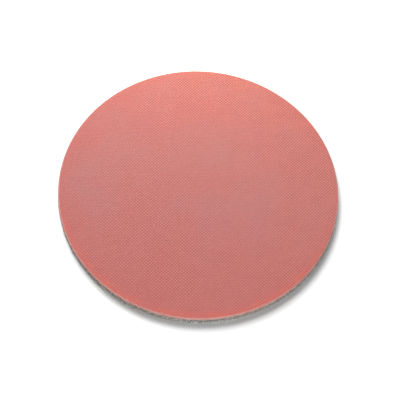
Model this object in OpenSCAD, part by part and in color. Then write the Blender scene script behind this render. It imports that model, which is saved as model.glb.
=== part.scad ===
// Foam-backed finishing disc, laid with its working face up.
// Four bonded sheets, cut out together: structured coat, carrier film, foam and loop fabric.
// The origin is the centre of the loop face, and +Z points out of the working face.

/* [Disc] */
// Diameter of the working sheet at its cut edge
disc_d = 150; // [75:1:225]

/* [Layers] */
// Thickness of the abrasive coat, from the film to the tips of its pyramids
coat_t = 0.35; // [0.2:0.05:0.8]
// Thickness of the pale carrier film
film_t = 0.3; // [0.1:0.05:0.6]
// Thickness of the foam cushion
foam_t = 5; // [2:0.1:12]
// Thickness of the loop fabric, from the foam to the tips of its loops
loop_t = 1.2; // [0.8:0.1:2.5]

/* [Cut edge] */
// Width of the rim that the cutting die draws down
rim_w = 2; // [1:0.1:4]
// How far the working sheet drops at its rim
rim_drop = 0.35; // [0:0.05:0.8]
// How far the cut leans out across the coat and the film
cut_lean = 0.5; // [0.1:0.05:0.8]
// How far the loop fabric stands out past the working sheet
wall_flare = 0.3; // [0:0.05:0.8]
// Swell of the foam wall past a straight line from film to fabric
foam_swell = 0.15; // [0.05:0.05:0.5]
// Rounding of the loop fabric's lower edge
loop_round = 0.6; // [0.2:0.05:0.7]

/* [Hidden] */

// Straight steps along each curve of the section
curve_steps = 8;
$fn = 240;

disc_r = disc_d / 2;
back_r = disc_r + wall_flare;
sheet_t = coat_t + film_t;
disc_t = loop_t + foam_t + sheet_t;
flat_r = disc_r - rim_w;
foam_top = disc_t - sheet_t - rim_drop;

// Radius of the leaning cut, a given depth below the top of the working sheet
function cut_r(depth) = disc_r - cut_lean * (1 - depth / sheet_t);

// Drop of the rim at a radius: a parabola that leaves the flat face without a crease
function drop_at(r) = rim_drop * pow(max(0, r - flat_r) / rim_w, 2);

// Section line of a sheet surface, from the axis to the cut, a given depth below the top
function sheet_line(depth) = concat(
    [[0, disc_t - depth]],
    [for (i = [0 : curve_steps])
        let (r = flat_r + (cut_r(depth) - flat_r) * i / curve_steps)
        [r, disc_t - depth - drop_at(r)]]
);

// Section line of the foam wall, from the film down to the fabric, swelling as a parabola
function wall_line() = [for (i = [1 : curve_steps])
    let (u = i / curve_steps)
    [disc_r + wall_flare * u + 4 * foam_swell * u * (1 - u), foam_top + (loop_t - foam_top) * u]];

// The same line, taken from the cut back to the axis
function back_to_axis(line) = [for (i = [len(line) - 1 : -1 : 0]) line[i]];

// A sheet between two depths below the top of the working face
module sheet(from_depth, to_depth) {
    rotate_extrude()
        polygon(concat(sheet_line(from_depth), back_to_axis(sheet_line(to_depth))));
}

// Abrasive coat: the flat field of pyramids with its rolled rim
module abrasive_face() {
    color([0.84, 0.52, 0.49])
        sheet(0, coat_t);
}

// Carrier film: its leaning cut edge shows as the pale line round the face
module carrier_film() {
    color([0.93, 0.80, 0.74])
        sheet(coat_t, sheet_t);
}

// Foam cushion: seats the film on top and the fabric below
module foam_cushion() {
    color([0.47, 0.46, 0.44])
        rotate_extrude()
            polygon(concat(sheet_line(sheet_t), wall_line(), [[0, loop_t]]));
}

// Loop fabric: a flat resting face with a soft lower edge
module loop_backing() {
    color([0.66, 0.65, 0.62])
        rotate_extrude() {
            translate([0, loop_round])
                square([back_r, loop_t - loop_round]);
            square([back_r - loop_round, loop_round]);
            intersection() {
                translate([back_r - loop_round, loop_round])
                    circle(r = loop_round);
                translate([back_r - loop_round, 0])
                    square(loop_round);
            }
        }
}

abrasive_face();
carrier_film();
foam_cushion();
loop_backing();
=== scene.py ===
"""Looks of a foam-backed finishing disc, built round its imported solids.

The disc is a laminate of four sheets. Each sheet is a class that builds its mesh from the
section's sizes, and each finish is a frozen dataclass that builds one procedural material.
Lengths are in metres. The origin is the centre of the loop face, and +Z points out of the
working face.
"""

import logging
import math
from dataclasses import dataclass, field
from enum import Enum

import bpy
import numpy as np
from mathutils import Matrix, Vector


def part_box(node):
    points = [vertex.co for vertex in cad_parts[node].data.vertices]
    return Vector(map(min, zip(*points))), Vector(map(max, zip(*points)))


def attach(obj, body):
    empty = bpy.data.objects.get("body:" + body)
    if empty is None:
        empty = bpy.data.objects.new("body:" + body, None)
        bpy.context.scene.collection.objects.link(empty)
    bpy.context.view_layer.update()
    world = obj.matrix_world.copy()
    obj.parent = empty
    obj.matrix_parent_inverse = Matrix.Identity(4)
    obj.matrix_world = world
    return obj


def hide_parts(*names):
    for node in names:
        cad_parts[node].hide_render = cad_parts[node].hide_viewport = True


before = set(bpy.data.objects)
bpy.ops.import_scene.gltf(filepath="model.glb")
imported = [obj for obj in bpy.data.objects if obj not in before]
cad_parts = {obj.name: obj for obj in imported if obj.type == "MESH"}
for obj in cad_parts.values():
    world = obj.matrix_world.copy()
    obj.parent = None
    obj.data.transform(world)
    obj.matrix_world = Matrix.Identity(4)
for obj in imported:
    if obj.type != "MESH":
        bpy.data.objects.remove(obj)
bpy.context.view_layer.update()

MM = 0.001
ROOT = "root"
SEED = 20
LOG = logging.getLogger("sanding_disc")

Colour = tuple[float, float, float]
Socket = bpy.types.NodeSocket


class Node(str, Enum):
    """The solids of the part that the pieces stand for."""

    COAT = "abrasive_face"
    FILM = "carrier_film"
    FOAM = "foam_cushion"
    LOOP = "loop_backing"


class Slot(str, Enum):
    """The record's material slots."""

    COAT = "abrasive_coat"
    FILM = "film"
    FOAM = "foam"
    LOOP = "loop_fabric"


def linear(red: int, green: int, blue: int) -> Colour:
    """Turns a colour as a screen shows it, 0 to 255, into linear light.

    Args:
        red: Red as shown.
        green: Green as shown.
        blue: Blue as shown.

    Returns:
        The three linear values: ((c + 0.055) / 1.055) to the power 2.4, or c / 12.92 when dark.
    """
    shown = np.array([red, green, blue]) / 255
    bright = ((shown + 0.055) / 1.055) ** 2.4
    return tuple(float(v) for v in np.where(shown <= 0.04045, shown / 12.92, bright))


@dataclass(frozen=True)
class Section:
    """The laminate's section, with the part's own sizes.

    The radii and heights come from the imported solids, and the sizes that their boxes don't
    show are the part's driving values.
    """

    cut_r: float
    back_r: float
    top: float
    foam_base: float
    coat_t: float = 0.35 * MM
    film_t: float = 0.30 * MM
    rim_w: float = 2.0 * MM
    rim_drop: float = 0.35 * MM
    cut_lean: float = 0.5 * MM
    foam_swell: float = 0.15 * MM
    waves: tuple = ((3, 0.4, 2.2e-4), (7, 1.9, 1.2e-4), (16, 4.1, 0.8e-4))

    @classmethod
    def from_frame(cls) -> "Section":
        """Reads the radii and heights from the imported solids.

        Returns:
            The section that every sheet follows.
        """
        film_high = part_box(Node.FILM.value)[1]
        coat_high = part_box(Node.COAT.value)[1]
        loop_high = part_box(Node.LOOP.value)[1]
        return cls(film_high.x, loop_high.x, coat_high.z, loop_high.z)

    @property
    def sheet_t(self) -> float:
        """Thickness of coat and film together."""
        return self.coat_t + self.film_t

    @property
    def flat_r(self) -> float:
        """Radius at which the flat face starts to roll down."""
        return self.cut_r - self.rim_w

    @property
    def foam_top(self) -> float:
        """Height of the foam's upper edge at the cut."""
        return self.top - self.sheet_t - self.rim_drop

    def cut_at(self, depth: float) -> float:
        """Gives the radius of the leaning cut, a depth below the top of the working sheet."""
        return self.cut_r - self.cut_lean * (1 - depth / self.sheet_t)

    def drop_at(self, radius: np.ndarray) -> np.ndarray:
        """Gives the rim's drop: a parabola that leaves the flat face without a crease."""
        return self.rim_drop * (np.maximum(0, radius - self.flat_r) / self.rim_w) ** 2

    def wobble(self, angle: np.ndarray) -> np.ndarray:
        """Gives the cut's small departure from a true circle.

        Args:
            angle: Angles about the axis, in radians.

        Returns:
            A factor for the radius: 1 plus three slow sine waves, under 0.04 mm in all.
        """
        return 1 + sum(size * np.sin(count * angle + phase) for count, phase, size in self.waves)

    def surface(self, depth: float, steps: int = 8) -> np.ndarray:
        """Lines out a sheet surface from the axis to the cut.

        Args:
            depth: Depth of the surface below the top of the working sheet.
            steps: Straight steps along the rolled rim.

        Returns:
            Points as rows of radius and height, the axis first.
        """
        radius = np.linspace(self.flat_r, self.cut_at(depth), steps + 1)
        height = self.top - depth - self.drop_at(radius)
        return np.vstack([[0.0, self.top - depth], np.column_stack([radius, height])])


def make_piece(
    name: str,
    points: np.ndarray,
    faces: list[np.ndarray],
    smooth: bool,
    values: dict[str, np.ndarray] | None = None,
    bake_map: np.ndarray | None = None,
) -> bpy.types.Object:
    """Puts whole arrays into a mesh object that sits at the origin.

    Args:
        name: The piece's name.
        points: Vertices, n by 3.
        faces: Arrays of vertex numbers, one array for each count of corners.
        smooth: Whether light is smoothed across the faces.
        values: Named numbers for each vertex, which the materials read.
        bake_map: Map coordinates for each vertex, n by 2.

    Returns:
        The new object, linked to the scene.
    """
    mesh = bpy.data.meshes.new(name)
    corners = np.concatenate([f.ravel() for f in faces]).astype(np.int32)
    counts = np.concatenate([np.full(len(f), f.shape[1]) for f in faces]).astype(np.int32)
    starts = np.concatenate([[0], np.cumsum(counts)[:-1]]).astype(np.int32)
    mesh.vertices.add(len(points))
    mesh.vertices.foreach_set("co", np.ascontiguousarray(points, np.float32).ravel())
    mesh.loops.add(len(corners))
    mesh.loops.foreach_set("vertex_index", corners)
    mesh.polygons.add(len(counts))
    mesh.polygons.foreach_set("loop_start", starts)
    mesh.polygons.foreach_set("loop_total", counts)
    mesh.polygons.foreach_set("use_smooth", np.full(len(counts), smooth))
    for key, numbers in (values or {}).items():
        attribute = mesh.attributes.new(key, "FLOAT", "POINT")
        attribute.data.foreach_set("value", numbers.astype(np.float32))
    if bake_map is not None:
        layer = mesh.uv_layers.new(name="OFBake")
        layer.data.foreach_set("uv", bake_map[corners].astype(np.float32).ravel())
    mesh.update(calc_edges=True)
    mesh.validate()
    piece = bpy.data.objects.new(name, mesh)
    bpy.context.scene.collection.objects.link(piece)
    return piece


def ring_faces(rings: int, count: int) -> np.ndarray:
    """Numbers the quads between closed rings of vertices, stored ring after ring.

    Args:
        rings: How many rings there are.
        count: Vertices in each ring.

    Returns:
        Quads, whose normals point away from the axis when the rings run downwards.
    """
    ring, step = np.meshgrid(np.arange(rings - 1), np.arange(count), indexing="ij")
    after = (step + 1) % count
    here, below = ring * count, (ring + 1) * count
    return np.stack([here + step, below + step, below + after, here + after], -1).reshape(-1, 4)


def fan_faces(first: int, count: int, pole: int, upward: bool) -> np.ndarray:
    """Numbers the triangles that close one ring to a pole.

    Args:
        first: Number of the ring's first vertex.
        count: Vertices in the ring.
        pole: Number of the pole's vertex.
        upward: Whether the triangles face up.

    Returns:
        Triangles, one for each step of the ring.
    """
    step = np.arange(count)
    here, after = first + step, first + (step + 1) % count
    pair = (here, after) if upward else (after, here)
    return np.stack([*pair, np.full(count, pole)], -1)


def revolve(radius: np.ndarray, height: np.ndarray, angle: np.ndarray) -> tuple:
    """Turns a closed section about the axis.

    Each ring is the section's radius and height at every angle, as (r cos a, r sin a, z),
    and a pole on the axis closes the first ring and the last.

    Args:
        radius: Radii, rings by angles.
        height: Heights, rings by angles.
        angle: The angles, in radians.

    Returns:
        The vertices and the list of face arrays.
    """
    rings, count = radius.shape
    around = np.stack([radius * np.cos(angle), radius * np.sin(angle), height], -1)
    poles = [[0, 0, height[0].mean()], [0, 0, height[-1].mean()]]
    points = np.vstack([around.reshape(-1, 3), poles])
    last, top_pole = (rings - 1) * count, rings * count
    faces = [
        ring_faces(rings, count),
        fan_faces(0, count, top_pole, upward=True),
        fan_faces(last, count, top_pole + 1, upward=False),
    ]
    return points, faces


def sweep_strands(path: np.ndarray, side: np.ndarray, thick: np.ndarray, sides: int) -> tuple:
    """Sweeps a small polygon along many strands at once.

    At each point of a path the polygon stands in the plane of the strand's side vector and
    the cross product of its tangent with that vector: p + t (cos f n + sin f b).

    Args:
        path: Points, strands by steps by 3.
        side: A unit vector across each strand's plane, strands by 3.
        thick: Radius at each point, strands by steps.
        sides: Corners of the polygon.

    Returns:
        The vertices, the quads and the end triangles or polygons.
    """
    strands, steps, _ = path.shape
    tangent = np.gradient(path, axis=1)
    tangent /= np.linalg.norm(tangent, axis=2, keepdims=True)
    across = np.broadcast_to(side[:, None], path.shape)
    normal = np.cross(across, tangent)
    turn = np.arange(sides) * 2 * math.pi / sides
    rim = (
        np.cos(turn)[:, None] * normal[:, :, None] + np.sin(turn)[:, None] * across[:, :, None]
    )
    points = path[:, :, None] + thick[:, :, None, None] * rim
    strand, step, corner = np.meshgrid(
        np.arange(strands), np.arange(steps - 1), np.arange(sides), indexing="ij"
    )
    here = (strand * steps + step) * sides
    after = (corner + 1) % sides
    quads = np.stack([here + corner, here + sides + corner, here + sides + after, here + after], -1)
    first = np.arange(strands)[:, None] * steps * sides
    ends = np.arange(sides)
    caps = np.vstack([first + ends, first + (steps - 1) * sides + ends[::-1]])
    return points.reshape(-1, 3), quads[..., ::-1].reshape(-1, 4), caps[:, ::-1]


@dataclass(frozen=True)
class Graph:
    """A thin hand on one material's node tree."""

    tree: bpy.types.NodeTree

    def add(self, kind: str, **settings: object) -> bpy.types.Node:
        """Adds a node and sets its properties.

        Args:
            kind: The node's type name, without its ShaderNode prefix.
            **settings: Properties, or input values under the input's name with _ for spaces.

        Returns:
            The node.
        """
        made = self.tree.nodes.new("ShaderNode" + kind)
        for key, value in settings.items():
            if hasattr(made, key):
                setattr(made, key, value)
            else:
                made.inputs[key.replace("_", " ")].default_value = value
        return made

    def link(self, out: Socket, into: Socket) -> None:
        """Joins an output to an input."""
        self.tree.links.new(out, into)

    def noise(self, scale: float, detail: float = 3.0, stretch: tuple = (1, 1, 1)) -> Socket:
        """Adds cloudy noise in the object's own space.

        Args:
            scale: Lumps in a metre.
            detail: Octaves of finer lumps.
            stretch: Factors for each axis.

        Returns:
            The noise's value, mostly from 0.3 to 0.7.
        """
        place = self.add("TexCoord").outputs["Object"]
        mapping = self.add("Mapping", Scale=stretch)
        self.link(place, mapping.inputs["Vector"])
        made = self.add("TexNoise", Scale=scale, Detail=detail)
        self.link(mapping.outputs["Vector"], made.inputs["Vector"])
        return made.outputs["Fac"]

    def coordinate(self, axis: str) -> Socket:
        """Gives one coordinate in the object's own space.

        Args:
            axis: X, Y or Z.

        Returns:
            The coordinate, in metres.
        """
        split = self.add("SeparateXYZ")
        self.link(self.add("TexCoord").outputs["Object"], split.inputs["Vector"])
        return split.outputs[axis]

    def fade(self, axis: str, span: tuple, result: tuple) -> Socket:
        """Maps a span of one coordinate to another span, and clamps it.

        Args:
            axis: X, Y or Z.
            span: The coordinate's lowest and highest value, in millimetres.
            result: What those become.

        Returns:
            The mapped number.
        """
        return self.spread(self.coordinate(axis), (span[0] * MM, span[1] * MM), result)

    def cells(self, scale: float) -> Socket:
        """Adds a pattern of cells in the object's own space.

        Args:
            scale: Cells in a metre.

        Returns:
            The distance to the nearest cell's centre.
        """
        place = self.add("TexCoord").outputs["Object"]
        made = self.add("TexVoronoi", Scale=scale)
        self.link(place, made.inputs["Vector"])
        return made.outputs["Distance"]

    def value(self, name: str) -> Socket:
        """Reads a named number of the piece's own vertices."""
        return self.add("Attribute", attribute_name=name).outputs["Fac"]

    def spread(self, factor: Socket, span: tuple, result: tuple) -> Socket:
        """Maps a span of numbers to another, and clamps it.

        Args:
            factor: The number to map.
            span: Its lowest and highest value.
            result: What those become.

        Returns:
            The mapped number.
        """
        made = self.add("MapRange", From_Min=span[0], From_Max=span[1])
        made.inputs["To Min"].default_value, made.inputs["To Max"].default_value = result
        self.link(factor, made.inputs["Value"])
        return made.outputs["Result"]

    def blend(self, factor: Socket, first: object, second: object) -> Socket:
        """Mixes two colours.

        Args:
            factor: 0 for the first and 1 for the second.
            first: A colour or a colour socket.
            second: A colour or a colour socket.

        Returns:
            The mixed colour.
        """
        made = self.add("Mix", data_type="RGBA")
        self.link(factor, made.inputs["Factor"])
        for name, colour in (("A", first), ("B", second)):
            socket = next(s for s in made.inputs if s.name == name and s.type == "RGBA")
            if isinstance(colour, tuple):
                socket.default_value = (*colour, 1)
            else:
                self.link(colour, socket)
        return next(s for s in made.outputs if s.type == "RGBA")

    def math(self, operation: str, first: object, second: object) -> Socket:
        """Works out one sum.

        Args:
            operation: The operation's name, such as ADD.
            first: A number or a socket.
            second: A number or a socket.

        Returns:
            The result.
        """
        made = self.add("Math", operation=operation)
        for socket, term in zip(made.inputs, (first, second)):
            if isinstance(term, (int, float)):
                socket.default_value = term
            else:
                self.link(term, socket)
        return made.outputs["Value"]

    def bump(self, height: Socket, distance: float, strength: float) -> Socket:
        """Turns a height into a bent normal.

        Args:
            height: The height, from 0 to 1.
            distance: What a height of 1 stands for.
            strength: Share of the effect.

        Returns:
            The normal.
        """
        made = self.add("Bump", Distance=distance, Strength=strength)
        self.link(height, made.inputs["Height"])
        return made.outputs["Normal"]


def new_material(
    name: str, **constants: object
) -> tuple[bpy.types.Material, Graph, bpy.types.Node]:
    """Starts a material with one main shader.

    Args:
        name: The material's name.
        **constants: Input values that are the same all over, with _ for spaces.

    Returns:
        The material, its graph and the shader.
    """
    material = bpy.data.materials.new(name)
    material.use_nodes = True
    graph = Graph(material.node_tree)
    shader = next(n for n in material.node_tree.nodes if n.type == "BSDF_PRINCIPLED")
    for key, value in constants.items():
        shader.inputs[key.replace("_", " ")].default_value = value
    return material, graph, shader


@dataclass(frozen=True)
class CoatFinish:
    """Mineral in pink resin: dry tips, valleys with painted shade, a middle veiled by dust and
    painted sheen, and a richer rim.
    """

    # The tip colour is paler where dry and worn; the valley colour is partly painted shade.
    tip: Colour = linear(198, 106, 102)
    valley: Colour = linear(137, 55, 52)
    rim: Colour = linear(183, 82, 71)
    # Partly dust, partly painted sheen.
    dust_and_sheen_tone: Colour = linear(149, 106, 110)
    # Painted shade and painted light for the valleys and tips towards the far right.
    shaded_valley: Colour = linear(73, 26, 24)
    lit_tip: Colour = linear(236, 125, 114)
    cut: Colour = linear(198, 132, 127)
    far_cut_shade: Colour = linear(162, 114, 111)
    mineral: Colour = (0.80, 0.55, 0.50)
    flat_relief_level: Colour = (0.55, 0.55, 0.55)

    def pyramids(self, graph: Graph) -> Socket:
        """Colours the pyramids by height, from valley to tip, with painted shade in the valleys.

        They show less where they are worn, and to the left, where their painted shade is
        weaker. Towards the far right, where X plus 0.7 times Y is largest, the tips carry
        painted light and the valleys deeper painted shade. The near left is darkened with
        painted shade.

        Args:
            graph: The material's graph.

        Returns:
            The colour.
        """
        # Painted shade in the valleys: colour runs from the darker valley to the paler tip.
        relief = graph.spread(graph.value("relief"), (0.05, 0.9), (0, 1))
        # The painted relief shade is made weaker to the left; the noise below is real wear that
        # flattens the relief.
        weaker_shade_left = graph.fade("X", (-60, 30), (0.62, 0))
        wear_and_weaker_shade = graph.spread(graph.noise(130, 3), (0.35, 0.65), (0.52, 0.1))
        wear_and_weaker_shade = graph.math("MAXIMUM", wear_and_weaker_shade, weaker_shade_left)
        relief = graph.blend(wear_and_weaker_shade, relief, self.flat_relief_level)
        # Painted light and shade: towards the far right the tips are painted lighter and the
        # valleys darker.
        part = graph.math("MULTIPLY", graph.coordinate("Y"), 0.7)
        corner = graph.math("ADD", graph.coordinate("X"), part)
        far_right_light = graph.spread(corner, (0, 90 * MM), (0, 0.9))
        low = graph.blend(far_right_light, self.valley, self.shaded_valley)
        high = graph.blend(far_right_light, self.tip, self.lit_tip)
        body = graph.blend(relief, low, high)
        uneven = graph.spread(graph.noise(850, 1), (0.35, 0.65), (0, 0.24))
        # Painted shade: the near left is darkened.
        left = graph.fade("X", (-70, 20), (0.12, 0.02))
        left = graph.math("MULTIPLY", left, graph.fade("Y", (-10, 40), (1, 0)))
        return graph.blend(graph.math("ADD", uneven, left), body, self.valley)

    def add_dust_and_sheen(self, graph: Graph, body: Socket) -> Socket:
        """Clouds a veil of dust and painted sheen over the middle, thinner to the near, far and
        right sides.

        Args:
            graph: The material's graph.
            body: The colour so far.

        Returns:
            The dusted colour.
        """
        # Partly dust, partly painted sheen: a greyer veil over the middle.
        dust_and_sheen = graph.spread(graph.noise(42, 4), (0.3, 0.7), (0.16, 0.44))
        for share in (
            graph.spread(graph.value("rim"), (-1, 0), (1, 0.7)),
            graph.fade("Y", (-60, -10), (0.3, 1)),
            graph.fade("X", (15, 50), (1, 0.72)),
            graph.fade("Y", (15, 50), (1, 0.72)),
        ):
            dust_and_sheen = graph.math("MULTIPLY", dust_and_sheen, share)
        return graph.blend(dust_and_sheen, body, self.dust_and_sheen_tone)

    def edged(self, graph: Graph, body: Socket) -> Socket:
        """Reddens the rim in patches, most on the near side, and pales the cut, which is darker on
        the far side with painted shade.

        Args:
            graph: The material's graph.
            body: The colour so far.

        Returns:
            The colour with its rim.
        """
        edge = graph.spread(graph.value("rim"), (-0.12, 0.6), (0, 0.85))
        edge = graph.math("MULTIPLY", edge, graph.fade("Y", (-60, -10), (1, 0.12)))
        patches = graph.spread(graph.noise(110, 2), (0.35, 0.65), (0.35, 1))
        body = graph.blend(graph.math("MULTIPLY", edge, patches), body, self.rim)
        # Painted shade: the cut is darker and greyer on the far side.
        cut = graph.blend(graph.fade("Y", (-10, 40), (0, 1)), self.cut, self.far_cut_shade)
        return graph.blend(graph.spread(graph.value("rim"), (1.3, 2), (0, 0.85)), body, cut)

    def material(self) -> bpy.types.Material:
        """Builds the material.

        Returns:
            Colour by height on the pyramids with painted shade in the valleys, clouded over
            centimetres by dust and painted sheen, and grained finely.
        """
        material, graph, shader = new_material("coat_resin", Specular_IOR_Level=0.35)
        body = self.edged(graph, self.add_dust_and_sheen(graph, self.pyramids(graph)))
        grain = graph.noise(7000, 2)
        body = graph.blend(graph.spread(grain, (0.35, 0.7), (0, 0.16)), body, self.mineral)
        graph.link(body, shader.inputs["Base Color"])
        graph.link(graph.spread(grain, (0.3, 0.7), (0.52, 0.72)), shader.inputs["Roughness"])
        graph.link(graph.bump(grain, 0.02 * MM, 0.5), shader.inputs["Normal"])
        return material


@dataclass(frozen=True)
class FilmFinish:
    """The film's cut edge: pale cream, smeared with a little pink from the cut."""

    pale: Colour = linear(206, 159, 145)
    smear: Colour = linear(183, 110, 101)

    def material(self) -> bpy.types.Material:
        """Builds the material.

        Returns:
            A satin edge with smears drawn out along it.
        """
        material, graph, shader = new_material("film_edge", Specular_IOR_Level=0.4)
        drag = graph.noise(260, 3, stretch=(1, 1, 9))
        smears = graph.spread(drag, (0.40, 0.62), (0, 0.85))
        graph.link(graph.blend(smears, self.pale, self.smear), shader.inputs["Base Color"])
        fine = graph.noise(5200, 2)
        graph.link(graph.spread(fine, (0.3, 0.7), (0.38, 0.6)), shader.inputs["Roughness"])
        graph.link(graph.bump(fine, 0.02 * MM, 0.5), shader.inputs["Normal"])
        return material


@dataclass(frozen=True)
class FoamFinish:
    """Grey open-cell foam: cells darkened with painted shade, between pale torn struts."""

    strut: Colour = linear(187, 176, 169)
    # Painted shade inside the open cells.
    cell: Colour = linear(68, 59, 54)
    fleck: Colour = linear(214, 207, 201)
    shade: Colour = linear(92, 82, 76)

    def material(self) -> bpy.types.Material:
        """Builds the material.

        The shade blotches thin out on the near side, where 0.18 times X less Y is largest, which
        paints light on that stretch of wall.

        Returns:
            Colour by depth into the cells, darker there with painted shade, with streaks where
            struts stand torn.
        """
        material, graph, shader = new_material("foam_cells", Specular_IOR_Level=0.2)
        # Painted shade: the cells darken with their depth.
        depth = graph.spread(graph.value("pit"), (0.1, 0.85), (0, 1))
        body = graph.blend(depth, self.strut, self.cell)
        blotch = graph.spread(graph.noise(620, 2, stretch=(1, 1, 0.7)), (0.45, 0.68), (0, 0.8))
        # Painted light: the near side of the wall is paler.
        leaning = graph.math("MULTIPLY", graph.coordinate("X"), 0.18)
        front = graph.math("SUBTRACT", leaning, graph.coordinate("Y"))
        thin = graph.spread(front, (66 * MM, 72 * MM), (1, 0.3))
        blotch = graph.math("MULTIPLY", blotch, thin)
        body = graph.blend(blotch, body, self.shade)
        torn = graph.spread(graph.noise(1500, 3, stretch=(1, 1, 0.45)), (0.55, 0.65), (0, 0.75))
        body = graph.blend(torn, body, self.fleck)
        fine = graph.cells(5200)
        graph.link(body, shader.inputs["Base Color"])
        graph.link(graph.spread(fine, (0, 0.8), (0.75, 0.95)), shader.inputs["Roughness"])
        graph.link(graph.bump(fine, 0.06 * MM, 0.8), shader.inputs["Normal"])
        return material


@dataclass(frozen=True)
class GroundFinish:
    """The loop fabric's knitted ground, in rows of small stitches."""

    yarn: Colour = linear(240, 240, 238)
    gap: Colour = linear(190, 190, 188)
    stitch: float = 0.48 * MM

    def material(self) -> bpy.types.Material:
        """Builds the material.

        Returns:
            Two crossed waves make the stitches, and noise loosens them.
        """
        material, graph, shader = new_material("knit_ground", Sheen_Weight=0.25)
        place = graph.add("TexCoord").outputs["Object"]
        waves = []
        for direction in ("X", "Y"):
            wave = graph.add(
                "TexWave", bands_direction=direction, Scale=0.314 / self.stitch, Distortion=1.5
            )
            graph.link(place, wave.inputs["Vector"])
            waves.append(wave.outputs["Fac"])
        stitch = graph.math("MULTIPLY", *waves)
        graph.link(graph.blend(stitch, self.gap, self.yarn), shader.inputs["Base Color"])
        fibre = graph.noise(6000, 3)
        graph.link(graph.spread(fibre, (0.3, 0.7), (0.7, 0.95)), shader.inputs["Roughness"])
        height = graph.math("ADD", stitch, graph.math("MULTIPLY", fibre, 0.5))
        graph.link(graph.bump(height, 0.08 * MM, 0.9), shader.inputs["Normal"])
        return material


@dataclass(frozen=True)
class PileFinish:
    """Nylon filaments, greyer towards both ends of each strand, which paints shade where the loops
    meet the ground.
    """

    bright: Colour = linear(240, 240, 238)
    dull: Colour = linear(192, 192, 189)

    def material(self) -> bpy.types.Material:
        """Builds the material.

        Returns:
            A soft fibre with its tone by strand and along its length.
        """
        material, graph, shader = new_material(
            "pile_nylon", Sheen_Weight=0.3, Specular_IOR_Level=0.4
        )
        # Painted shade: strands darken towards their ends, where loops meet the ground.
        tone = graph.math("MULTIPLY", graph.value("tone"), graph.value("along"))
        clouds = graph.spread(graph.noise(700, 2), (0.35, 0.65), (0.7, 1.0))
        graph.link(
            graph.blend(graph.math("MULTIPLY", tone, clouds), self.dull, self.bright),
            shader.inputs["Base Color"],
        )
        fine = graph.noise(9000, 2)
        graph.link(graph.spread(fine, (0.3, 0.7), (0.45, 0.65)), shader.inputs["Roughness"])
        return material


def dress(
    piece: bpy.types.Object, slot: Slot, material: bpy.types.Material, *nodes: Node
) -> bpy.types.Object:
    """Gives a piece its material and its body, and hides the solids that it stands for.

    Args:
        piece: The piece.
        slot: The record's material slot. Not used.
        material: Its finish.
        *nodes: The solids that it replaces.

    Returns:
        The piece.
    """
    piece.data.materials.append(material)
    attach(piece, ROOT)
    if nodes:
        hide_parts(*(n.value for n in nodes))
    LOG.info("%s: %d faces", piece.name, len(piece.data.polygons))
    return piece


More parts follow.
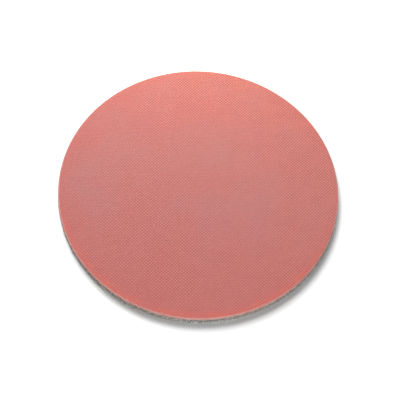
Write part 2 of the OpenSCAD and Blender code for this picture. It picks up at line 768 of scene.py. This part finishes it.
@dataclass
class AbrasiveCoat:
    """The structured coat: a square grid of blunt pyramids, cut to a disc and rolled at its rim."""

    section: Section
    pitch: float = 1.23 * MM
    relief: float = 0.22 * MM
    turn: float = math.radians(-41)
    tip_share: float = 0.22
    tip_wear: float = 0.012 * MM
    tip_shift: float = 0.03
    margin: float = 1.05
    band_shares: tuple = (0.84, 0.95, 0.98, 0.9905, 0.9933)
    bands: tuple = (-1, 0, 1, 1, 2)
    finish: CoatFinish = field(default_factory=CoatFinish)

    def height(self, across: np.ndarray, along: np.ndarray) -> np.ndarray:
        """Gives the pattern's height, from 0 in a valley to 1 on a tip.

        In each cell m is the larger of the two distances from its centre, in cells. The
        height is 1 where m is under half the tip's share, and falls straight to 0 at m = 1/2.

        Args:
            across: Grid coordinates along the first direction, in cells.
            along: Grid coordinates along the second.

        Returns:
            The heights.
        """
        off = np.maximum(np.abs(across - np.rint(across)), np.abs(along - np.rint(along)))
        return 1 - np.clip((off - self.tip_share / 2) / (0.5 - self.tip_share / 2), 0, 1)

    def place(self, grid: np.ndarray, lift: np.ndarray, rng: np.random.Generator) -> tuple:
        """Places grid points on the disc.

        A point past the cut is drawn straight back to it, and its height is the pattern's
        there, so that the cut goes through the pyramids.

        Args:
            grid: Points in cells, n by 2.
            lift: Their heights, 0 in a valley and 1 on a tip.
            rng: Source of the small differences between tips.

        Returns:
            The vertices, their heights from 0 to 1, and whether each was past the cut.
        """
        cos, sin = math.cos(self.turn), math.sin(self.turn)
        flat = grid @ np.array([[cos, sin], [-sin, cos]]) * self.pitch
        radius = np.hypot(flat[:, 0], flat[:, 1])
        angle = np.arctan2(flat[:, 1], flat[:, 0])
        cut = self.section.cut_at(0) * self.section.wobble(angle)
        past = radius >= cut
        held = np.minimum(radius, cut)
        flat = np.column_stack([held * np.cos(angle), held * np.sin(angle)])
        back = flat @ np.array([[cos, -sin], [sin, cos]]) / self.pitch
        relief = np.where(past, self.height(back[:, 0], back[:, 1]), lift)
        wear = rng.uniform(0, self.tip_wear, len(relief)) * relief
        level = self.section.top - self.relief * (1 - relief) - wear - self.section.drop_at(held)
        return np.column_stack([flat, level]), relief, past

    def mesh(self) -> bpy.types.Object:
        """Builds the coat as one closed mesh.

        Returns:
            The piece.
        """
        rng = np.random.default_rng(SEED)
        half = int(self.section.cut_r / self.pitch * self.margin) + 1
        side = 2 * half + 1
        cell = np.stack(np.meshgrid(*[np.arange(-half, half + 1)] * 2, indexing="ij"), -1)
        corner = np.stack(np.meshgrid(*[np.arange(-half, half + 2) - 0.5] * 2, indexing="ij"), -1)
        square = np.array([[-1, -1], [1, -1], [1, 1], [-1, 1]])
        shift = rng.normal(0, self.tip_shift, cell.shape)
        tips = (cell + shift)[:, :, None] + square * self.tip_share / 2
        grid = np.vstack([corner.reshape(-1, 2), tips.reshape(-1, 2)])
        lift = np.repeat([0.0, 1.0], [corner.size // 2, tips.size // 2])
        points, relief, past = self.place(grid, lift, rng)
        row, column = np.meshgrid(np.arange(side), np.arange(side), indexing="ij")
        base = row * (side + 1) + column
        low = np.stack([base, base + side + 1, base + side + 2, base + 1], -1).reshape(-1, 4)
        high = (side + 1) ** 2 + np.arange(side * side * 4).reshape(-1, 4)
        slopes = [
            np.stack([low[:, i], low[:, (i + 1) % 4], high[:, (i + 1) % 4], high[:, i]], -1)
            for i in range(4)
        ]
        faces = np.vstack([high, *slopes])
        faces = faces[~past[faces].all(1)]
        return self.close(points, relief, faces)

    def close(self, points: np.ndarray, relief: np.ndarray, faces: np.ndarray) -> bpy.types.Object:
        """Closes the patterned face with its cut edge and its hidden underside.

        The open edges are those that only one face uses. Each of their vertices gets one
        below it on the leaning cut, and rings follow the film inwards from there. The rim's
        value is -1 on the face, 0 to 1 across the rolled rim and 2 on the cut.

        Args:
            points: Vertices of the pattern.
            relief: Their heights from 0 to 1.
            faces: The pattern's quads.

        Returns:
            The piece.
        """
        pairs = np.stack([faces, np.roll(faces, -1, axis=1)], -1).reshape(-1, 2)
        key = np.sort(pairs, axis=1) @ np.array([len(points), 1])
        _, index, count = np.unique(key, return_index=True, return_counts=True)
        open_edges = pairs[index[count == 1]]
        outer = np.unique(open_edges)
        number = np.zeros(len(points), int)
        number[outer] = np.arange(len(outer))
        angle = np.arctan2(points[outer, 1], points[outer, 0])
        under = self.section.surface(self.section.coat_t, 4)[:0:-1]
        radius = under[:, :1] * self.section.wobble(angle)
        level = np.broadcast_to(under[:, 1:], radius.shape)
        rings = np.stack([radius * np.cos(angle), radius * np.sin(angle), level], -1)
        first = len(points)
        pole = first + rings.shape[0] * len(outer)
        here, after = number[open_edges[:, 0]], number[open_edges[:, 1]]
        walls = [np.stack([open_edges[:, 1], open_edges[:, 0], first + here, first + after], -1)]
        for ring in range(len(rings) - 1):
            near, far = first + ring * len(outer), first + (ring + 1) * len(outer)
            walls.append(np.stack([near + after, near + here, far + here, far + after], -1))
        inner = pole - len(outer)
        fan = np.stack([inner + after, inner + here, np.full(len(here), pole)], -1)
        centre = [[0, 0, self.section.top - self.section.coat_t]]
        points = np.vstack([points, rings.reshape(-1, 3), centre])
        relief = np.concatenate([relief, np.zeros(len(points) - len(relief))])
        quads = np.vstack([faces, *walls])
        used, new = np.unique(np.concatenate([quads.ravel(), fan.ravel()]), return_inverse=True)
        quads, fan = new[: quads.size].reshape(-1, 4), new[quads.size :].reshape(-1, 3)
        share = np.hypot(points[used, 0], points[used, 1]) / self.section.cut_r
        rim = np.interp(share, self.band_shares, self.bands)
        values = {"relief": relief[used], "rim": rim}
        return make_piece("abrasive_coat", points[used], [quads, fan], False, values)

    def build(self) -> bpy.types.Object:
        """Builds and dresses the coat."""
        return dress(self.mesh(), Slot.COAT, self.finish.material(), Node.COAT)


@dataclass
class CarrierFilm:
    """The pale film under the coat, seen as a thin leaning edge with small nicks."""

    section: Section
    steps: int = 960
    nick: float = 0.03 * MM
    finish: FilmFinish = field(default_factory=FilmFinish)

    def build(self) -> bpy.types.Object:
        """Builds and dresses the film.

        The section runs out along the coat, down the leaning cut and back along the foam.

        Returns:
            The piece.
        """
        rng = np.random.default_rng(SEED + 1)
        section = self.section
        angle = np.arange(self.steps) * 2 * math.pi / self.steps
        upper = section.surface(section.coat_t)[1:]
        lower = section.surface(section.sheet_t)[:0:-1]
        edge = np.linspace(upper[-1], lower[0], 5)[1:-1]
        line = np.vstack([upper, edge, lower])
        radius = line[:, :1] * section.wobble(angle)
        rough = rng.normal(0, self.nick / 3, (len(edge), self.steps))
        radius[len(upper) : len(upper) + len(edge)] += rough
        height = np.broadcast_to(line[:, 1:], radius.shape)
        points, faces = revolve(radius, height, angle)
        piece = make_piece("carrier_film_edge", points, faces, True)
        return dress(piece, Slot.FILM, self.finish.material(), Node.FILM)


@dataclass
class FoamCushion:
    """The foam slab, whose wall shows cells cut open by the die."""

    section: Section
    steps: int = 2400
    rows: int = 23
    cell: float = 0.7 * MM
    pit_depth: float = 0.24 * MM
    cup_r: float = 0.75
    strut_w: float = 0.22
    shares: tuple[float, float] = (0.7, 0.3)
    finish: FoamFinish = field(default_factory=FoamFinish)

    def pits(
        self, round_r: float, tall: float, size: float, rng: np.random.Generator
    ) -> np.ndarray:
        """Works out open cells on the unrolled wall.

        One point is scattered in each square of a lattice that meets itself round the disc.
        With d1 and d2 the distances to the nearest two points, in squares, a cell is a cup
        of depth 1 - (d1 / its radius) squared, and it fades out where d2 - d1 is under a
        strut's width.

        Args:
            round_r: Radius of the wall.
            tall: Height of the wall.
            size: Side of a square.
            rng: Source of the scatter.

        Returns:
            Depths from 0 to 1, rows by steps.
        """
        columns = int(round(2 * math.pi * round_r / size))
        layers = int(math.ceil(tall / size)) + 3
        scatter = rng.uniform(0.1, 0.9, (layers, columns, 2))
        x = (np.arange(self.steps) / self.steps * columns)[None, :]
        y = (np.linspace(0, tall, self.rows + 1) / size + 1)[:, None]
        x, y = np.broadcast_arrays(x, y)
        nearest = np.full((2, *x.shape), 9.0)
        for down in (-1, 0, 1):
            for over in (-1, 0, 1):
                square_x, square_y = np.floor(x) + over, np.floor(y) + down
                spot = scatter[square_y.astype(int), square_x.astype(int) % columns]
                away = np.hypot(square_x + spot[..., 0] - x, square_y + spot[..., 1] - y)
                nearest = np.sort(np.vstack([nearest, away[None]]), axis=0)[:2]
        cup = np.clip(1 - (nearest[0] / self.cup_r) ** 2, 0, 1)
        return cup * np.clip((nearest[1] - nearest[0]) / self.strut_w, 0, 1)

    def build(self) -> bpy.types.Object:
        """Builds and dresses the foam.

        The wall runs straight from film to fabric with a parabola's swell on it, less the
        depth of the cells. It is closed along the film above and flat on the fabric below.

        Returns:
            The piece.
        """
        rng = np.random.default_rng(SEED + 2)
        section = self.section
        angle = np.arange(self.steps) * 2 * math.pi / self.steps
        down = np.linspace(0, 1, self.rows + 1)[:, None]
        flare = section.back_r - section.cut_r
        swell = 4 * section.foam_swell * down * (1 - down)
        tall = section.foam_top - section.foam_base
        depth = self.shares[0] * self.pits(section.cut_r, tall, self.cell, rng)
        depth += self.shares[1] * self.pits(section.cut_r, tall, self.cell / 2, rng)
        depth *= np.clip(np.minimum(down, 1 - down) * 8 + 0.25, 0, 1)
        wall = (section.cut_r + flare * down + swell) * section.wobble(angle)
        wall -= self.pit_depth * depth
        level = np.broadcast_to(section.foam_top - tall * down, wall.shape)
        under_film = section.surface(section.sheet_t)[1:-1]
        above = under_film[:, :1] * section.wobble(angle)
        above_level = np.broadcast_to(under_film[:, 1:], above.shape)
        below = np.full((1, self.steps), section.flat_r)
        radius = np.vstack([above, wall, below])
        height = np.vstack([above_level, level, np.full_like(below, section.foam_base)])
        points, faces = revolve(radius, height, angle)
        flat = np.zeros((len(above), self.steps))
        pit = np.concatenate([flat.ravel(), depth.ravel(), np.zeros(self.steps + 2)])
        piece = make_piece("foam_slab", points, faces, True, {"pit": pit})
        return dress(piece, Slot.FOAM, self.finish.material(), Node.FOAM)


@dataclass
class LoopBacking:
    """The loop fabric: a knitted ground, a pile of loops below it and frayed ends at its edge."""

    section: Section
    ground_t: float = 0.62 * MM
    edge_round: float = 0.2 * MM
    edge_steps: int = 9
    ripple: float = 0.03 * MM
    ripples: int = 377
    rest_gap: float = 0.08 * MM
    steps: int = 1440
    spacing: float = 1.13 * MM
    edge_spacing: float = 0.62 * MM
    scatter: float = 0.36
    lean: float = 0.28
    loop_w: float = 1.5 * MM
    strand: float = 0.075 * MM
    strand_sides: int = 3
    loop_steps: int = 7
    sectors: int = 4
    ends: int = 2200
    end_steps: int = 6
    raised: float = 0.18
    frayed_at: float = math.radians(-83)
    frayed_reach: float = 0.17
    frayed_share: float = 0.28
    frayed_raised: float = 0.9
    frayed_lift: float = 1.9
    tufts: int = 16
    tuft_shift: float = 0.008
    tuft_spread: float = 0.0024
    splay: float = 0.4 * MM
    ground_finish: GroundFinish = field(default_factory=GroundFinish)
    pile_finish: PileFinish = field(default_factory=PileFinish)

    def ground(self) -> bpy.types.Object:
        """Builds the knitted ground with its rounded cut edge.

        The edge is half an ellipse, radius r + w cos t and height z + h sin t, with a fine
        ripple round the disc.

        Returns:
            The piece.
        """
        section = self.section
        angle = np.arange(self.steps) * 2 * math.pi / self.steps
        half, round_w = self.ground_t / 2, self.edge_round
        turn = np.linspace(math.pi / 2, -math.pi / 2, self.edge_steps)
        middle = section.foam_base - half
        edge = np.column_stack(
            [section.back_r - round_w + round_w * np.cos(turn), middle + half * np.sin(turn)]
        )
        inner = [section.flat_r, section.foam_base], [section.flat_r, middle - half]
        line = np.vstack([inner[:1], edge, inner[1:]])
        radius = line[:, :1] * section.wobble(angle)
        radius[2:-2] += self.ripple * np.sin(angle * self.ripples)
        height = np.broadcast_to(line[:, 1:], radius.shape)
        points, faces = revolve(radius, height, angle)
        return make_piece("loop_ground", points, faces, True)

    def pile(self, rng: np.random.Generator) -> list[bpy.types.Object]:
        """Builds the loops in sectors.

        A loop is half an ellipse hanging from the ground: root + (w/2) cos t a + h sin t d,
        for t from 0 to pi, where a is a direction in the ground and d leans from straight
        down. A strand is thickest at its crown. The last row of loops runs along the edge.

        Args:
            rng: Source of the scatter.

        Returns:
            The pieces, one for each sector.
        """
        section = self.section
        reach = section.back_r - self.edge_round
        half = int(reach / self.spacing) + 1
        lattice = np.stack(np.meshgrid(*[np.arange(-half, half + 1)] * 2), -1).reshape(-1, 2)
        shift = rng.uniform(-self.scatter, self.scatter, lattice.shape)
        centre = (lattice + shift) * self.spacing
        centre = centre[np.hypot(centre[:, 0], centre[:, 1]) < reach]
        last = int(2 * math.pi * section.back_r / self.edge_spacing)
        angle = (np.arange(last) + rng.uniform(-0.3, 0.3, last)) * 2 * math.pi / last
        rim_r = section.back_r - rng.uniform(0.05, 0.2, last) * MM
        rim = np.column_stack([rim_r * np.cos(angle), rim_r * np.sin(angle)])
        count = len(centre) + last
        root_z = section.foam_base - self.ground_t * 0.7
        aim = np.concatenate([rng.normal(0, 0.7, len(centre)), angle + math.pi / 2])
        centre = np.vstack([centre, rim])
        along = np.column_stack([np.cos(aim), np.sin(aim), np.zeros(count)])
        lean = rng.normal(0, self.lean, (count, 2))
        down = np.column_stack([lean, -np.ones(count)])
        down /= np.linalg.norm(down, axis=1, keepdims=True)
        width = self.loop_w * rng.uniform(0.7, 1.15, count) / 2
        tall = (root_z - self.rest_gap) * rng.uniform(0.78, 1.0, count)
        turn = np.linspace(0, math.pi, self.loop_steps)
        root = np.column_stack([centre, np.full(count, root_z)])
        path = (
            root[:, None]
            + width[:, None, None] * np.cos(turn)[:, None] * along[:, None]
            + tall[:, None, None] * np.sin(turn)[:, None] * down[:, None]
        )
        side = np.cross(along, down)
        side /= np.linalg.norm(side, axis=1, keepdims=True)
        thick = self.strand * rng.uniform(0.8, 1.2, (count, 1)) * (0.75 + 0.25 * np.sin(turn))
        tone = rng.uniform(0.35, 1.0, count)
        sector = ((np.arctan2(centre[:, 1], centre[:, 0]) / (2 * math.pi)) % 1) * self.sectors
        made = []
        for number in range(self.sectors):
            mine = sector.astype(int) == number
            arrays = (values[mine] for values in (path, side, thick, tone))
            made.append(self.strands(f"loop_pile_{number + 1}", *arrays))
        return made

    def fray(self, rng: np.random.Generator) -> bpy.types.Object:
        """Builds the filaments that the die cut open round the edge, and tufts on one stretch.

        A filament leaves the edge outwards and sinks, or turns up along the foam and leans
        to one side: start + run sqrt(u) out + rise u^2 up + splay u^1.5 around, for u from
        0 to 1. It stays above what the disc lies on.

        Args:
            rng: Source of the scatter.

        Returns:
            The piece.
        """
        section = self.section
        count = self.ends
        angle = rng.uniform(0, 2 * math.pi, count)
        tufts = self.frayed_at + np.linspace(-self.frayed_reach, self.frayed_reach, self.tufts)
        tufts = tufts + rng.normal(0, self.tuft_shift, self.tufts)
        tuft = tufts[rng.integers(0, self.tufts, count)]
        patch = rng.uniform(0, 1, count) < self.frayed_share
        angle = np.where(patch, tuft + rng.normal(0, self.tuft_spread, count), angle)
        swing = rng.normal(0, 0.55, count)
        out = np.column_stack([np.cos(angle + swing), np.sin(angle + swing), np.zeros(count)])
        start_z = rng.uniform(0.25, 1.15, count) * MM
        radius = section.back_r * section.wobble(angle) - 0.1 * MM
        start = np.column_stack([radius * np.cos(angle), radius * np.sin(angle), start_z])
        raised = rng.uniform(0, 1, count) < np.where(patch, self.frayed_raised, self.raised)
        run = np.where(raised, rng.uniform(0.2, 0.35, count), rng.uniform(0.2, 0.6, count)) * MM
        lift = np.where(
            raised,
            rng.uniform(0.6, 2.4, count) * MM * np.where(patch, self.frayed_lift, 1),
            (self.rest_gap - start_z) * rng.uniform(0.2, 1.0, count),
        )
        u = np.linspace(0, 1, self.end_steps)
        path = start[:, None] + (run[:, None] * np.sqrt(u))[..., None] * out[:, None]
        path[..., 2] += lift[:, None] * u**2
        splay = np.where(raised, rng.normal(0, self.splay, count), 0)
        around = np.column_stack([-np.sin(angle), np.cos(angle), np.zeros(count)])
        path += (splay[:, None] * u**1.5)[..., None] * around[:, None]
        side = np.cross(out, [0, 0, 1.0])
        stout = np.where(raised, 0.055, 0.03)[:, None] * MM
        thick = stout * rng.uniform(0.8, 1.2, (count, 1)) * (1 - 0.5 * u)
        return self.strands("loop_fray", path, side, thick, rng.uniform(0.5, 1.0, count))

    def strands(
        self, name: str, path: np.ndarray, side: np.ndarray, thick: np.ndarray, tone: np.ndarray
    ) -> bpy.types.Object:
        """Makes one piece of many strands, each with its own square of the piece's map.

        Args:
            name: The piece's name.
            path: Points, strands by steps by 3.
            side: A vector across each strand.
            thick: Radius at each point.
            tone: Tone of each strand, from 0 to 1.

        Returns:
            The piece.
        """
        sides = self.strand_sides
        points, quads, caps = sweep_strands(path, side, thick, sides)
        count, steps, _ = path.shape
        share = np.sin(np.linspace(0, math.pi, steps)) * 0.6 + 0.4
        shape = (count, steps, sides)
        values = {
            "tone": np.broadcast_to(tone[:, None, None], shape).ravel(),
            "along": np.broadcast_to(share[None, :, None], shape).ravel(),
        }
        squares = math.ceil(math.sqrt(count))
        column, row = np.arange(count) % squares, np.arange(count) // squares
        u = (column[:, None, None] + np.linspace(0.15, 0.85, steps)[None, :, None]) / squares
        v = (row[:, None, None] + np.linspace(0.15, 0.85, sides)[None, None, :]) / squares
        places = np.stack(np.broadcast_arrays(u, v), -1).reshape(-1, 2)
        return make_piece(name, points, [quads, caps], True, values, places)

    def build(self) -> bpy.types.Object:
        """Returns:
            The ground, which carries the pile.
        """
        rng = np.random.default_rng(SEED + 3)
        pile = [*self.pile(rng), self.fray(rng)]
        finish = self.pile_finish.material()
        for piece in pile:
            dress(piece, Slot.LOOP, finish)
        ground = self.ground()
        return dress(ground, Slot.LOOP, self.ground_finish.material(), Node.LOOP)


@dataclass(frozen=True)
class Lamp:
    """A soft square lamp that faces the disc and isn't itself in the picture."""

    name: str
    place: tuple[float, float, float]
    size: float
    power: float
    colour: Colour

    def hang(self) -> None:
        """Adds the lamp to the scene, turned to the origin."""
        data = bpy.data.lights.new(self.name, "AREA")
        data.size, data.energy, data.color = self.size, self.power, self.colour
        lamp = bpy.data.objects.new(self.name, data)
        lamp.location = self.place
        lamp.rotation_euler = Vector(self.place).to_track_quat("Z", "Y").to_euler()
        lamp.visible_camera = False
        bpy.context.scene.collection.objects.link(lamp)


@dataclass
class Studio:
    """A plain white floor, soft lamps and the camera at the photograph's angle."""

    section: Section
    image_px: float = 400.0
    focal_px: float = 868.0
    distance: float = 464.2 * MM
    elevation: float = math.radians(62.81)
    roll: float = math.radians(4.19)
    aim_right: float = 0.613 * MM
    aim_up: float = -7.75 * MM
    sky: float = 0.13
    floor_glow: float = 0.05
    glow_ring: tuple[float, float] = (0.1, 0.2)
    floor_half: float = 3.0
    lamps: tuple[Lamp, ...] = (
        Lamp("key", (-0.205, 0.382, 0.739), 0.54, 10.7, (1, 1, 1)),
        Lamp("back", (-0.02, 0.13, 0.08), 0.10, 0.125, (1, 0.77, 0.45)),
        Lamp("front", (0.052, -0.295, 0.05), 0.08, 0.31, (1, 1, 1)),
    )

    def camera(self) -> None:
        """Places the camera.

        It looks at the centre of the working face from the given elevation, turned about its
        own axis by the roll, and moved across its view by the two aims.
        """
        data = bpy.data.cameras.new("camera")
        data.sensor_width = 36.0
        data.lens = self.focal_px / self.image_px * data.sensor_width
        data.clip_start, data.clip_end = 0.01, 20.0
        camera = bpy.data.objects.new("camera", data)
        bpy.context.scene.collection.objects.link(camera)
        back = Vector((0, -math.cos(self.elevation), math.sin(self.elevation)))
        level = Vector((1, 0, 0))
        rise = back.cross(level)
        right = math.cos(self.roll) * level + math.sin(self.roll) * rise
        up = math.cos(self.roll) * rise - math.sin(self.roll) * level
        centre = Vector((0, 0, self.section.top))
        place = centre + self.aim_right * right + self.aim_up * up + self.distance * back
        turn = Matrix((right, up, back)).transposed().to_4x4()
        camera.matrix_world = Matrix.Translation(place) @ turn
        bpy.context.scene.camera = camera

    def seen(self, graph: Graph) -> Socket:
        """Tells rays that show the background from those that light the disc.

        Args:
            graph: The graph of the floor's or the sky's material.

        Returns:
            1 for a ray that the picture shows, straight or mirrored, and 0 for the others.
        """
        ray = graph.add("LightPath").outputs
        total = graph.math("ADD", ray["Is Camera Ray"], ray["Is Glossy Ray"])
        total = graph.math("ADD", total, ray["Is Transmission Ray"])
        return graph.math("MINIMUM", total, 1.0)

    def world(self) -> None:
        """Makes an even sky, white where the background shows."""
        world = bpy.data.worlds.new("sky")
        bpy.context.scene.world = world
        world.use_nodes = True
        graph = Graph(world.node_tree)
        background = next(n for n in world.node_tree.nodes if n.type == "BACKGROUND")
        background.inputs["Color"].default_value = (1, 1, 1, 1)
        strength = graph.spread(self.seen(graph), (0, 1), (self.sky, 1.0))
        graph.link(strength, background.inputs["Strength"])

    def floor(self) -> None:
        """Lays a white floor, which keeps the disc's shadow and glows beyond it."""
        square = np.array([[-1, -1, 0], [1, -1, 0], [1, 1, 0], [-1, 1, 0]])
        corners = square * self.floor_half
        floor = make_piece("floor", corners, [np.array([[0, 1, 2, 3]])], False)
        material, graph, shader = new_material("floor_paint", Roughness=0.9, Specular_IOR_Level=0.0)
        shader.inputs["Base Color"].default_value = (0.9, 0.9, 0.9, 1)
        shader.inputs["Emission Color"].default_value = (1, 1, 1, 1)
        away = graph.add("VectorMath", operation="LENGTH")
        graph.link(graph.add("TexCoord").outputs["Object"], away.inputs[0])
        ring = graph.spread(away.outputs["Value"], self.glow_ring, (self.floor_glow, 1))
        glow = graph.math("MULTIPLY", self.seen(graph), ring)
        graph.link(glow, shader.inputs["Emission Strength"])
        floor.data.materials.append(material)

    def build(self) -> None:
        """Sets the camera, the floor and the light."""
        self.camera()
        self.world()
        self.floor()
        for lamp in self.lamps:
            lamp.hang()
        bpy.context.scene.view_settings.view_transform = "Standard"


def main() -> None:
    """Builds the disc from its working face down, then the studio."""
    logging.basicConfig(level=logging.INFO, format="%(name)s %(message)s")
    section = Section.from_frame()
    for sheet in (
        AbrasiveCoat(section),
        CarrierFilm(section),
        FoamCushion(section),
        LoopBacking(section),
    ):
        sheet.build()
        LOG.info("%s is in place", type(sheet).__name__)
    Studio(section).build()


if __name__ == "__main__":
    main()
